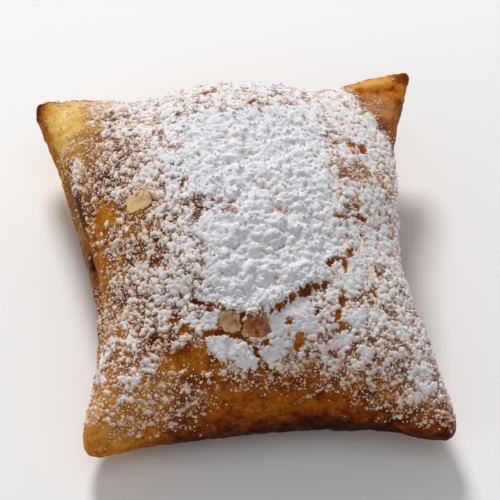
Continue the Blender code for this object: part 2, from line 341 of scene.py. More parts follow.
def powderVeilGroup():
    # a mask of thin powder that breaks up into grains as it covers less
    group, given, result = makeGroup("powderVeil", {"Cover": 0.2, "Grain size": 0.6 * mm, "Contrast": 2.4},
                                     "Mask", "Float")
    scale = calculate(group, "DIVIDE", 1.0, given["Grain size"])
    noise = noiseNode(group, given["Vector"], scale, 2.0, 0.75)
    speckled = calculate(group, "MULTIPLY", calculate(group, "SUBTRACT", noise, 0.5), given["Contrast"])
    level = rangeNode(group, given["Cover"], -0.9, 1.9)
    setInputs(group, result, {"Mask": calculate(group, "ADD", speckled, level, use_clamp=True)})
    return group


fineGrain = fineGrainGroup()
bakedColour = bakedColourGroup()
powderVeil = powderVeilGroup()

sugarPaint = {
    "thick": [(0.30, (222, 222, 227)), (0.70, (237, 237, 240))],
    "thin": [(0.36, (215, 190, 185)), (0.50, (234, 204, 178)), (0.62, (241, 214, 172))],  # the crust tints it
    "veil": (222, 184, 142),
    "patchSize": 1.6 * mm,
    "fleckSize": 0.9 * mm,
    "grainRoughness": 0.6,
    "bumpStrength": 0.7,
    "surface": {"Roughness": 0.9, "Specular IOR Level": 0.15, "Subsurface Weight": 0.2,
                "Subsurface Radius": (1.0, 0.95, 0.9), "Subsurface Scale": 0.3 * mm},
}


def sugarColour(tree, place):
    patches = noiseNode(tree, place, 1 / sugarPaint["patchSize"], 3.0)
    flecks = noiseNode(tree, place, 1 / sugarPaint["fleckSize"], 2.0)
    thick = colourRamp(tree, patches, sugarPaint["thick"])
    thin = colourRamp(tree, flecks, sugarPaint["thin"])
    return mixColours(tree, attributeNode(tree, "warmth"), thick, thin)


def powderedCrust(tree, place):
    # the baked crust's colour, and the mask of the powder on it
    bakeAndPaintedLight, ochre, dust, cover = [attributeNode(tree, name) for name in ("bakeAndPaintedLight", "ochre", "dust", "cover")]
    baked = useGroup(tree, bakedColour, place, {"Bake": bakeAndPaintedLight, "Ochre": ochre, "Dust": dust})
    return baked, useGroup(tree, powderVeil, place, {"Cover": cover})


def addBump(tree, surface, height, strength, distance):
    bump = addNode(tree, "ShaderNodeBump", {"Height": height, "Strength": strength, "Distance": distance})
    tree.links.new(bump.outputs["Normal"], surface.inputs["Normal"])


def crustMaterial():
    # bare crust with a veil of powder, for the crust and its flakes
    material, tree, surface = newMaterial("friedCrust")
    place = addNode(tree, "ShaderNodeTexCoord").outputs["Object"]
    baked, mask = powderedCrust(tree, place)
    grain = useGroup(tree, fineGrain, place, crustLook["grain"])
    height = calculate(tree, "MULTIPLY_ADD", mask, crustLook["powderHeight"], grain)
    addBump(tree, surface, height, crustLook["bumpStrength"], crustLook["bumpHeight"])
    setInputs(tree, surface, {"Base Color": mixColours(tree, mask, baked, linearColour(*sugarPaint["veil"])),
                              "Roughness": rangeNode(tree, mask, *crustLook["roughness"]),
                              **crustLook["surface"]})
    return material


def sugarMaterial(name, grainSize, bumpHeight, overCrust):
    material, tree, surface = newMaterial(name)
    place = addNode(tree, "ShaderNodeTexCoord").outputs["Object"]
    colour = sugarColour(tree, place)
    if overCrust:
        baked, mask = powderedCrust(tree, place)
        colour = mixColours(tree, mask, baked, colour)
    grain = {"Grain size": grainSize, "Roughness": sugarPaint["grainRoughness"]}
    addBump(tree, surface, useGroup(tree, fineGrain, place, grain), sugarPaint["bumpStrength"], bumpHeight)
    setInputs(tree, surface, {"Base Color": colour, **sugarPaint["surface"]})
    return material


friedCrust = crustMaterial()
powderedSugar = sugarMaterial("powderedSugar", 0.5 * mm, 0.15 * mm, True)
looseSugar = sugarMaterial("looseSugar", 0.2 * mm, 0.05 * mm, False)
print("materials ready")


# where things lie, in millimetres seen from above unless a point has three numbers

ledgeStations = np.linspace(-16, 19, 7)
ledgeLine = (-12, -18.6, -22.4, -22.6, -20.4, -16.8, -11.6)
crackUnderLedge = [(3.5, -22.4), (5.3, -21.5), (8.6, -19.9), (10.6, -19.2), (13.1, -18.1), (14.3, -18)]
crackDown = [(-2.2, -22.6), (-2.7, -24), (-2.6, -25.8), (-1.4, -27.6), (0.4, -29.8)]
crackAcross = [(-9.3, -24.8), (-7.1, -25.2), (-4.9, -25.6), (-2.6, -26)]
crackLeft = [(-11.2, -18.9), (-9.6, -19.4), (-7.2, -20.6), (-5.4, -21.6), (-3, -22.6)]
seamCrease = [(-32.4, 14, 18.4), (-31.7, 11, 19.4), (-31.2, 8, 19), (-30.7, 5, 18),
              (-30.2, 2.5, 16.2), (-29.9, -0.5, 14.6)]
seamTail = [(-29.9, -0.5, 14.6), (-29.5, -5, 13.6), (-29.2, -9, 13.3), (-28.9, -13.5, 13.2)]
seamLip = [(-33.6, 19.2, 15.3), (-33, 15.4, 15.1), (-32.6, 11.9, 14.6), (-32.3, 8.6, 13.9),
           (-31.7, 5.1, 13.4), (-31.1, 1.9, 12.6), (-30.4, -2.7, 12)]
# painted highlight along a soft ridge on the near face
nearRidgeHighlight = [(-9, -33.2, 18.6), (-3, -34.4, 17), (4, -35.6, 15), (10, -36.2, 13.2)]
# a real dent low on the near face, with painted shade browning it darker
nearShadedHollow = [(12, -37.6, 7.2), (18, -38.1, 6.7), (23, -38.8, 6.5)]
foldLine = [(7.1, -35.9, 14.3), (8.9, -35.3, 14.9), (10.9, -34.8, 15.6), (13.7, -34.2, 16.7)]
farLeftRim = [(-38.8, 42.6, 15), (-39.2, 39.5, 14), (-38.4, 36, 13.4), (-36.8, 30.5, 13.4)]
farLeftBand = [(-38.4, 41.6, 16.8), (-38.6, 39, 16.4), (-38.3, 36.4, 15.2), (-37.2, 32, 14.6),
               (-36, 27, 14.4)]
# a ridge on the far left tip, raised for real and lightened as a painted highlight
farLeftRidgeHighlight = [(-36.6, 42, 17.4), (-36.4, 39.4, 16.8), (-36.7, 36.6, 15.6)]
# painted highlight along the far right rim
farRightRimHighlight = [(26.4, 34.4, 22), (30.4, 35.6, 21.8), (35.3, 37, 21)]
farRightStreak = [(29, 33.2, 22.6), (32.6, 33, 22.2), (36.2, 34.6, 21)]

# the lean is how much of a place is covered: 0 half, 1 most, 2 nearly all, and below 0 the same for bare
sugarLook = {
    # where the dusting is half bare, on the left and on the near side: stations, and the line's place there
    "leftEdge": ((-38, -26, -20, -15, -7, 2, 7, 12, 20, 32, 40),
                 (-23, -18.5, -22, -23.2, -21.8, -21.4, -21.8, -23.6, -25.6, -26.8, -26.4)),
    "nearEdge": ((-36, -22, -17, -10, -6, 3, 6, 10, 14, 22, 28, 33, 40),
                 (-30, -27.5, -25, -25.6, -31, -31.2, -30.4, -30.4, -32.2, -33.6, -34.4, -38.5, -40)),
    "leftFade": 9.5,        # how gently it thins out there, in millimetres for each 1 of lean
    "nearFade": 2.6,
    "nearLean": -0.9,       # loose sugar in front of the near edge
    "bareLean": -1.9,       # elsewhere beyond the edges
    "mostLean": 1.05,       # the thickest dusting
    "cakeLean": 1.4,        # how much more the cake has
    "cornerLean": -3.4,     # the far right corner's change
    "steepLean": -2.6,      # the change on steep faces, and underneath
    "underLean": -4,
    "filmDepth": 0.34,
    "cakeDepth": 0.42,
    "smallBlobs": [(1, 0.95, 13, 0.8), (0.85, 0.6, 14, 0.9)],
    "largeBlobs": [(1, 1.6, 15, 0.8), (0.9, 0.9, 16, 0.9)],
    "patches": [(0.46, 2.4, 1), (0.4, 1.25, 2)],
    "lumps": [(0.74, 2.3, 8, 0.7), (0.62, 1.25, 9, 0.8), (0.36, 0.7, 18, 0.8)],
    "rolling": [(0.34, 4.4, 10), (0.14, 1.5, 12)],
    "strokes": [(crackUnderLedge, 0.22, -1.8), (crackDown, 0.4, -5.4), (crackAcross, 0.42, -4.8),
                (crackLeft, 0.33, -4), (seamCrease, 0.9, -3), (seamLip, 1.8, -1.6), (foldLine, 0.4, 2.8)],
    "warmFrom": -1.4,       # the lean up to which the crust tints the powder
    "whiteFrom": 1.2,       # and from which it is white
    "sheetLean": -2.8,      # no sheet lies where the lean is lower
    "sheetSplit": 4,        # where the dusting's two sheets meet, in x
    "sharpAngle": 75,
    "leastDepth": 0.02,     # what counts as sugar
}

# x, y, long, wide, turn, how much more (or less) sugar lies there
sugarSpots = [
    (-34.6, 33.4, 8, 7.6, 20, -2),  # far left corner
    (-38.6, 41, 3, 4, 0, -3),
    (-30, 38.6, 6, 2.2, 8, -1),
    (-29, 24, 4.6, 6, 0, -0.5),
    (-4.5, -23.6, 3, 2.6, -8, -4.6),  # bare patch under the ledge
    (0.2, -25, 3.5, 2.3, 0, -5.4),
    (-7.4, -25.2, 2.9, 0.9, -10, -4.2),  # brown band left of it
    (-33.5, -38.5, 5, 4.2, 0, -2.2),  # bare tip of the near left corner
    (28.6, -38.6, 4, 2.2, 0, 0.9),  # powder above the near right tip
    (27, -30.5, 8, 4.6, 0, -0.4),  # more here and less there, on the right of the near face
    (12.5, -31.6, 3.6, 1.8, 0, 0.2),
    (10.8, -25.8, 2.2, 1.5, 0, 1.4),
    (18.1, -29.4, 1.6, 1.4, 0, 1),
    (21.4, -27.4, 2, 1.6, 0, -0.8),
    (25.2, 14.5, 2.6, 2.6, 0, -0.7),  # and along the right edge
    (33.4, 23.4, 2, 2.4, 0, 0.8),
    (31, 30, 3, 4.4, 20, 0.8),  # a little powder on the far right corner
    (-13.2, -23.7, 2.2, 1.3, 0, -2.3),  # brown spots at the ledge's left end, and a white lump right of them
    (-8.5, -22.6, 2.1, 1.4, 15, 4.2),
    (-14.6, -21.2, 2, 1.6, 0, -1.5),
    (-6.6, -27.4, 4.2, 1.9, -28, 3.4),  # white band under the patch
    (-2, -30.4, 2.6, 1.8, -4, 2.6),
    (3.6, -28.8, 2.6, 2, 30, 2),
    (4.6, -25, 2.6, 2.4, 0, 1.4),
    (-13.6, -28.4, 6, 3, 0, -1.2),  # bare left of the band
    (-18.5, -23.8, 3, 1.8, 0, -1.1),
    (8.4, -27.8, 1.9, 1.4, 60, -3),  # golden patch
    (29.6, -35.6, 5, 3, 0, 0.4),  # powder on the near right corner
    (8.5, -23.4, 7, 3.4, 14, 1.2),  # smooth white right of the patch
    (19.5, -16, 3.6, 3, 0, 1),
    (20.2, -24.5, 2.4, 2.8, 0, 1.5),
    (24, -23, 2.2, 2, 0, 1.4),
    (17.2, -27.7, 2.4, 2.1, 0, 2.7),
    (6.7, -24.5, 1, 0.8, 0, -3.2),  # brown marks in it
    (2.1, -27.9, 1.1, 1.2, 0, -3.6),
    (12.3, -22.6, 1.3, 0.8, 40, -2.8),
    (16.4, -23.6, 1.1, 1.7, -20, -3.6),
    (17.3, -25.3, 1.1, 1, 0, -3),
    (15.5, -26.5, 1.2, 0.9, 0, -2.8),
    (17.5, -20.7, 1.1, 1.4, 0, -3),
    (18.4, -29.6, 2.4, 0.9, 35, -2.4),
    (14.7, -30.1, 1.2, 1.2, 0, -2.2),
    (16.2, -13.1, 1.2, 1.2, 0, -6),  # hooked brown spot right of the ledge
    (18, -12.2, 1.9, 0.8, 0, -4.4),
    (19.1, -13.8, 0.9, 1.7, 0, -3.6),
    (21.2, 16.1, 0.8, 0.9, 0, -2.6),  # brown spots up the right of the cake
    (24.1, 16, 0.9, 1.4, 0, -3.2),
    (26.5, 15.5, 1, 2.2, 0, -3.6),
    (21.3, 7.8, 2.2, 2.8, 0, -1.9),
    (22.8, 0.4, 1.3, 1, -35, -3.2),
    (21, -0.9, 1.1, 1.2, 0, -2.2),
    (19.6, -3.2, 2.6, 0.9, 0, -3.2),
    (23.3, -2.4, 2.6, 0.9, 0, -2.8),
    (-20.5, 17.4, 3, 2.6, 0, -0.5),  # thinner on the left of the cake
    (-17, 3.4, 2.6, 2.4, 0, -0.6),
    (-7, 0.4, 6, 2.8, 0, -0.9),
    (-9, -2.4, 2.2, 2.4, 0, -0.6),
    (-2.6, -2.4, 2.6, 1.2, -10, -1.3),
    (-16, -3, 4, 5, 0, -0.5),
    (-11.6, 6, 2, 2, 0, -0.7),
    (-19, 13.4, 3, 2.6, 0, -0.7),
    (-22.6, 20.4, 3.4, 3, 0, -0.6),
    (-19.6, -5.6, 2.4, 2.8, 0, -0.8),
    (20.4, -9.8, 1.1, 1.9, 0, -2.8),
    (23.6, -6.2, 0.8, 1.1, 0, -2.6),
    (25.3, -14.2, 1.1, 1.5, 0, -2.8),
    (23.2, -21, 0.7, 0.8, 0, -3.4),
    (24.1, -18.8, 0.8, 1.8, 20, -2.6),
    (30.3, 0.4, 1.3, 1.2, 0, -1.4),
    (30.4, 9, 2.8, 6.5, 0, -0.8),  # thinner towards the right edge
    (25, 8.5, 3.2, 4.4, 0, -1.4),
    (25, -18, 6, 10, 0, -0.2),
    (5.6, 27.2, 1.9, 0.8, 5, -2.4),  # streaks near the far edge
    (11.6, 26.6, 2.4, 0.8, -5, -1.8),
    (-3.2, 31.6, 2.4, 1.2, 0, -1.4),
    (-23.9, 9.4, 1.1, 1.3, 0, 3.2),  # white clumps on the left
    (-26.6, 3.6, 0.8, 0.9, 0, 2.6),
    (-17.4, 11.6, 1.8, 1.4, 20, 2.2),
    (-24.9, -18.3, 1.2, 1.3, 0, 2.6),
    (-29.2, -23.1, 1.4, 1.4, 0, 2.4),
    (-28, -21.8, 2.8, 2.8, 0, 1.2),  # powder towards the near left corner
    (-24.4, -23, 3, 4.4, 0, 0.9),
    (-24.8, -29.5, 2.8, 3.8, 0, 1),
    (-20.6, -28, 2.4, 2.8, 0, 1.1),
    (-26.6, 5.4, 3.4, 4.4, -24, -1.3),  # golden strip beside the seam
    (-28.4, -4.6, 1.5, 7.4, 0, -1.3),
    (-20.6, -0.8, 3.6, 1.9, 0, -0.8),
    (-18.6, -6, 2.2, 1.7, 0, 1.1),
    (-24.6, -5, 2, 2.4, 0, -0.6),
    (-29.2, -20.2, 1.6, 2, 0, 0.8),
    (-26.6, -32.6, 1.7, 1.5, 0, 1.2),
    (-19.8, 2.8, 3.4, 3.4, 0, -0.9),  # browner hollow beside and under the left flake
    (-20.4, 4.9, 3.2, 2.8, 10, -3.2),
    (-17.6, -8, 2, 4, 0, -0.8),
    (-32.2, 17, 1.3, 5, 0, 1.4),  # powder caught on the left lip
    (-31.6, 20.4, 1.8, 1.6, 0, 1.2),
    (-30, -26, 2, 4, 0, 0.9),
]

# x, y, long, wide, turn, how much more haze of powder lies on the bare crust (less where below 0)
hazeSpots = [
    (-2.8, -2.4, 3.4, 1.9, -10, -0.3),
    (-9.2, -8.6, 2.4, 2.4, 0, -0.35),
    (8.6, 26.4, 6.5, 1.4, 0, -0.3),
    (-6, 24, 9, 4, 0, -0.2),
    (18, 18, 4, 8, 0, -0.2),
    (-28.5, 40, 9, 3, 0, 0.6),
    (-31.3, 19.6, 2.6, 2.4, 0, 0.55),
    (-33.3, 28.9, 3.6, 4.6, 0, 0.22),
    (-25.9, 35, 5, 3, 0, 0.6),
    (32.4, 28.4, 4.4, 6, 0, 0.36),
    (-32.2, 9, 1.8, 11, 8, 0.2),
    (-31.2, 33.6, 4.6, 3, 10, 0.26),
    (-24, -30, 14, 14, 0, -0.08),
    (-10, -0.5, 3.2, 2.4, 0, -0.2),
    (-2.2, 0, 3, 2, 0, -0.3),
]


def beadsAlong(line, count, small, large, change):
    # a row of spots along a bent line, growing towards its end
    line = np.array(line, float)
    run = np.concatenate([[0], np.cumsum(np.linalg.norm(np.diff(line, axis=0), axis=1))])
    stops = np.linspace(0, run[-1], count)
    sizes = np.linspace(small, large, count)
    return [(np.interp(stop, run, line[:, 0]), np.interp(stop, run, line[:, 1]), size, size, 0, change)
            for stop, size in zip(stops, sizes)]


sugarSpots += beadsAlong(crackUnderLedge, 8, 0.52, 0.94, -6.4)


def cakeShare(places, normals, marks):
    # 1 on the thick cake, falling steeply at its ledge and gently elsewhere
    x, y, _ = places.T
    share = easeIn(marks[:, 1] - np.interp(marks[:, 0], ledgeStations, ledgeLine), -0.4, 0.9)
    fromLeft = x + 2.4 * softNoise(places, 4, 6) - 3.5 * easeIn(-y, -8, 2)
    share *= easeIn(fromLeft, -15.5, -4.5)
    share *= 1 - easeIn(x + 2.0 * softNoise(places, 3.4, 7), 13, 21)
    share *= 1 - easeIn(y + 1.6 * softNoise(places, 3.4, 17), 19, 26)
    return share * easeIn(normals[:, 2], 0.3, 0.7)


def sugarLean(places, normals, marks, cake):
    x, y, z = places.T
    look, facingUp = sugarLook, normals[:, 2]
    fromLeft = (x - np.interp(y, *look["leftEdge"])) / look["leftFade"]
    fromNear = (y - np.interp(x, *look["nearEdge"])) / look["nearFade"]
    lean = np.minimum(fromLeft, fromNear)
    # loose sugar in front, thinner low down and in the middle of the near face, thicker at its two ends
    nearSide = easeIn(-y, 14, 24)
    loose = look["nearLean"] - 0.9 * easeIn(-y, 37, 42) - 1.9 * oval(places, (5, -37, 18, 9, 0))
    loose += 0.45 * easeIn(-x, 10, 16) + 0.35 * easeIn(x, 14, 22)
    lean = np.maximum(lean, loose * nearSide + look["bareLean"] * (1 - nearSide))
    most = look["mostLean"] - 0.25 * easeIn(-x, 0, 8) - 0.3 * easeIn(x, 8, 14) * easeIn(-y, 12, 20)
    lean = np.minimum(lean, most + look["cakeLean"] * cake)
    toCorner = (marks[:, 0] - 29.2) * 0.9 + (marks[:, 1] - 28) * 0.44
    lean += look["cornerLean"] * easeIn(toCorner, -1.8, 1.6) * easeIn(y, 14, 19)
    for spot in sugarSpots:
        lean = lean + spot[5] * oval(marks, spot)
    lean += strokes(places, marks, look["strokes"])
    # the sides: little stays on steep faces, none underneath
    lean += look["steepLean"] * (1 - easeIn(facingUp, 0, 0.45))
    lean += look["underLean"] * (1 - easeIn(facingUp, -0.35, 0.05))
    return lean - 2.0 * (1 - easeIn(z, 3, 9))


def sugarOn(places, normals):
    # the sugar's depth in millimetres (below nought where the crust shows), the share of the place that its
    # grains cover, and the lean and the cake's share behind them
    x, y, _ = places.T
    marks = ragged(places)
    cake = cakeShare(places, normals, marks)
    lean = sugarLean(places, normals, marks, cake)
    small, large = [tallest(places, sugarLook[name]) for name in ("smallBlobs", "largeBlobs")]
    coarse = easeIn(x, -8, 6) * easeIn(y, -22, -8) * (1 - 0.75 * easeIn(x, 19, 27))
    blobs = small + (large - small) * coarse
    patchy = layered(softNoise, places, sugarLook["patches"])
    patchy += 2.1 * (blobs - 0.41) + 0.24 * softNoise(places, 0.43, 4)
    patchy += 0.36 * softNoise(places, 0.75, 19) * easeIn(x, 2, 10) * easeIn(-y, 10, 20)
    level = lean + 1.6 * patchy * (1 - 0.5 * cake)
    film = sugarLook["filmDepth"] * np.tanh(0.75 * level)
    film += 0.3 * (blobs - 0.4) * easeIn(level, 0, 1.2)
    lumps = layered(lumpNoise, places, sugarLook["lumps"]) - 0.62
    rolling = layered(softNoise, places, sugarLook["rolling"])
    heap = cake * (sugarLook["cakeDepth"] + lumps + rolling) * easeIn(lean, -1.2, 0.6)
    cover = np.clip(0.4 + 0.34 * level, 0, 1)
    cover -= 0.4 * cake * (1 - easeIn(film + heap, 0.2, 0.75))
    cover = np.maximum(cover, 0.38 * easeIn(lean, -0.6, 1.4))
    settled = easeIn(normals[:, 2], -0.3, 0.2) * (1 - easeIn(normals[:, 1], 0.5, 0.8))
    for spot in hazeSpots:
        room = 1 - cover if spot[5] > 0 else cover
        cover = cover + spot[5] * oval(marks, spot) * settled * room
    return film + heap, cover, lean, cake


# the crust, lengths in millimetres

crustShape = {
    "voxel": 0.45,
    "blisters": [(0.3, 3.4, 21), (0.15, 1.7, 22)],    # height, size, seed
    "wrinkles": [(0.16, 2.2, 23), (0.08, 1, 24)],
    "bedDepth": 1.1,    # how far the crust lies under the cake's surface
    "strokes": [(seamCrease, 0.8, -0.38), (seamTail, 0.7, -0.114), (crackUnderLedge, 0.6, -0.1),
                (crackDown, 0.4, -0.1), (crackAcross, 0.4, -0.1), (foldLine, 0.5, -0.45),
                (nearShadedHollow, 1.2, -0.4), (farLeftRidgeHighlight, 1, 0.5), (farRightStreak, 0.8, -0.25)],
}

# how brown: 0 is pale dough, 1 burnt; some strokes and spots add painted shade and painted highlights
browningAndPaintedLight = {
    "middle": 0.66,
    "clouds": [(0.1, 9, 31), (0.06, 3.5, 32)],
    # the near ridge stroke is a painted highlight and the near hollow stroke painted shade
    "strokes": [(nearRidgeHighlight, 2, -0.1), (nearShadedHollow, 1.5, 0.3), (seamCrease, 1.6, 0.2), (seamTail, 1, 0.1),
                (seamLip, 1.6, 0.04), (crackUnderLedge, 0.8, 0.1), (crackDown, 0.5, 0.1),
                (crackAcross, 0.5, 0.1), (crackLeft, 0.6, 0.1), (farLeftRim, 1.5, 0.06),
                # the far left ridge and far right rim strokes are painted highlights
                (farLeftBand, 2.6, 0.28), (farLeftRidgeHighlight, 0.9, -0.22), (farRightRimHighlight, 1.1, -0.24),
                (farRightStreak, 0.9, 0.18)],
}

# x, y, long, wide, turn, how brown, how strongly
bakeAndPaintedLightSpots = [
    (-30, -35, 11, 10, 0, 0.34, 0.9),  # near left corner, golden
    (-21, -31, 9, 8, 0, 0.38, 0.75),
    (-26, -20, 7, 9, 0, 0.46, 0.7),
    (-32, -41.5, 5, 2.6, 10, 0.7, 0.7),
    (8, -37, 22, 6, 0, 0.7, 0.85),  # near face
    (32, -40, 9, 6, 0, 0.62, 0.8),
    (25, -36, 4, 2.4, 0, 0.52, 0.7),
    (-27.5, 5, 3.6, 9, 0, 0.57, 0.8),  # golden strip on the left
    (-28, -7, 2.4, 7, 0, 0.48, 0.8),
    (-34, 32, 12, 13, 30, 0.24, 1),  # far left corner, pale
    (-27.5, 34, 4, 4, 0, 0.54, 0.7),
    (-30, 24, 5, 7, 0, 0.54, 0.7),
    (-30, 16, 4, 6, 0, 0.62, 0.7),
    (34, 32, 9, 9, 0, 0.48, 0.9),  # far right corner
    (38, 37.4, 3.4, 3, 30, 0.76, 0.9),
    (37, 30.6, 2.4, 7, 8, 0.62, 0.7),
    (31, 30.6, 3.2, 1.3, -50, 0.64, 0.7),
    (33.8, 27, 1.6, 4.6, 20, 0.6, 0.6),
    (-33, 38.8, 6, 2, 0, 0.12, 0.6),  # the far corners' rims, paler
    (-28, 36.6, 9, 2.6, 10, 0.14, 0.7),
    (-31.5, 34, 4, 3, 0, 0.16, 0.6),
    # painted highlight on the far right rim
    (28.5, 35, 4.5, 1.6, 15, 0.32, 0.6),
    (-4.6, -23.6, 2.6, 2.6, 0, 0.52, 0.8),  # patch under the ledge
    (0.4, -24.8, 3.4, 2.6, 0, 0.68, 0.8),
    (8.4, -28, 3, 3, 0, 0.52, 0.7),
]


def evenShape():
    # the frame's own shape as an even mesh
    piece = addObject("beignetCrust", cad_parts["beignet"].data.copy())
    piece.data.materials.clear()
    work = bmesh.new()
    work.from_mesh(piece.data)
    bmesh.ops.remove_doubles(work, verts=work.verts, dist=0.002 * mm)
    work.to_mesh(piece.data)
    work.free()
    remesh = piece.modifiers.new("even", "REMESH")
    remesh.mode = "VOXEL"
    remesh.voxel_size = crustShape["voxel"] * mm
    smooth = piece.modifiers.new("smooth", "SMOOTH")
    smooth.factor = 0.5
    smooth.iterations = 4
    return bakeModifiers(piece)


def crustRelief(places, normals):
    marks = ragged(places)
    cake = cakeShare(places, normals, marks)
    bare = 1 - easeIn(sugarLean(places, normals, marks, cake), 0, 2)
    relief = sum(height * (lumpNoise(places, size, seed) ** 2 - 0.25)
                 for height, size, seed in crustShape["blisters"])
    (height, size, seed), fine = crustShape["wrinkles"]
    relief += height * (0.5 - np.abs(softNoise(places, size, seed))) + layered(softNoise, places, [fine])
    relief = relief * (0.35 + 0.65 * bare) - crustShape["bedDepth"] * cake
    return relief + strokes(places, marks, crustShape["strokes"])


def bakeAndPaintedLightLevel(places, normals, lean):
    x, y, z = places.T
    marks = ragged(places)
    bakeAndPaintedLight = browningAndPaintedLight["middle"] + 0.08 * easeIn(lean, -2, 0.4) + layered(softNoise, places, browningAndPaintedLight["clouds"])
    for spot in bakeAndPaintedLightSpots:
        share = spot[6] * oval(marks, spot)
        bakeAndPaintedLight = bakeAndPaintedLight * (1 - share) + spot[5] * share
    # painted shade: the near face, turned away from the back lamp, is made browner the lower it lies
    near = easeIn(-normals[:, 1], 0.3, 0.9) * easeIn(-y, 25, 32)
    bakeAndPaintedLight += near * 0.36 * (1 - easeIn(z, 3, 15)) * (1 - 0.7 * easeIn(-x, 10, 20))
    bakeAndPaintedLight += 0.1 * easeIn(lean, -1, 0.2) * easeIn(-x, 8, 14)
    bakeAndPaintedLight += strokes(places, marks, browningAndPaintedLight["strokes"])
    # dark dots on the far left tip, and the blisters' browner crowns
    bakeAndPaintedLight += 0.3 * stroke(places, farLeftRim[:3], 0.6) * easeIn(softNoise(places, 1.3, 34), 0, 0.4)
    _, size, seed = crustShape["blisters"][0]
    bakeAndPaintedLight += 0.14 * (lumpNoise(places, size, seed) ** 2 - 0.3) + 0.07 * softNoise(places, 1.6, 33)
    return np.clip(bakeAndPaintedLight, 0.02, 1)


def ochreShare(places, lean):
    # the left side, the two left corners and the gaps in the sugar are ochre, the rest is rusty
    x, y, _ = places.T
    share = easeIn(-x, 9, 20) * (1 - 0.95 * easeIn(-y, 12, 24))
    share = np.maximum(share, 0.45 * easeIn(lean, -1.5, 0.5) * (1 - 0.7 * easeIn(-y, 20, 28)))
    share *= 1 - 0.9 * stroke(places, seamCrease, 1.6)
    share *= 1 - 0.9 * stroke(places, farLeftBand, 2.6)
    share *= 1 - 0.6 * oval(places, (-27, 2, 5, 16, -4))
    return np.clip(share * (1 + 0.5 * softNoise(places, 4, 36)), 0, 1)


def dustShare(places, lean):
    # how much of the crust's colour is dulled by dust in the gaps of the sugar
    x, y, _ = places.T
    share = 0.3 * easeIn(lean, -0.4, 1.6)
    inGaps = easeIn(x, 2, 14) * easeIn(y, -24, -10) * easeIn(lean, -2.2, 0.4)
    share = np.maximum(share, 0.52 * inGaps)
    share *= 1 - 0.8 * easeIn(-x, 6, 14) * easeIn(-y, 16, 26)
    share = np.maximum(share, 0.14 * stroke(places, seamLip, 1.2))
    share = np.maximum(share, 0.16 * oval(places, (32, 29, 4.6, 6.5, 10)))
    return np.clip(share * (1 + 0.4 * softNoise(places, 1.4, 37)), 0, 1)


def makeCrust():
    piece = evenShape()
    places, normals, faces = readMesh(piece.data)
    held = easeIn(places[:, 2], 0.4, 3)    # the resting spot stays flat
    moved = places + normals * (crustRelief(places, normals) * held)[:, None]
    moved[:, 2] = np.maximum(moved[:, 2], 0)
    bpy.data.objects.remove(piece)
    return buildMesh("beignetCrust", moved, faces, friedCrust)


crust = makeCrust()
crustPlaces, crustNormals, crustFaces = readMesh(crust.data)
crustDepth, crustCover, crustLean, crustCake = sugarOn(crustPlaces, crustNormals)
crustBakeAndPaintedLight = bakeAndPaintedLightLevel(crustPlaces, crustNormals, crustLean)
crustOchre = ochreShare(crustPlaces, crustLean)
crustDust = dustShare(crustPlaces, crustLean)
storeValues(crust, {"bakeAndPaintedLight": crustBakeAndPaintedLight, "ochre": crustOchre, "dust": crustDust, "cover": crustCover})
print("crust:", triangleCount(crust), "triangles")


# the sugar sheets, cut from the crust's own surface and closed underneath

def cutInFour(faces):
    # each face of the crust in four; the new points carry the whole crust's values, so that sheets meet
    ends = np.stack([faces, np.roll(faces, -1, axis=1)], axis=2)
    code = np.sort(ends.reshape(-1, 2), axis=1) @ (len(crustPlaces), 1)
    _, first, back = np.unique(code, return_index=True, return_inverse=True)
    pairs = ends.reshape(-1, 2)[first]
    middles = len(crustPlaces) + back.reshape(-1, 4)
    centres = (len(crustPlaces) + len(pairs) + np.arange(len(faces)))[:, None]
    places, normals, bakeAndPaintedLight, ochre, dust = [
        np.concatenate([values, values[pairs].mean(axis=1), values[faces].mean(axis=1)])
        for values in (crustPlaces, crustNormals, crustBakeAndPaintedLight, crustOchre, crustDust)]
    children = [np.hstack([faces[:, [i]], middles[:, [i]], centres, middles[:, [i - 1]]]) for i in range(4)]
    normals /= np.linalg.norm(normals, axis=1)[:, None]
    return places, normals, bakeAndPaintedLight, ochre, dust, np.stack(children, axis=1), middles


def warmthOf(lean):
    return 1 - easeIn(lean, sugarLook["warmFrom"], sugarLook["whiteFrom"])


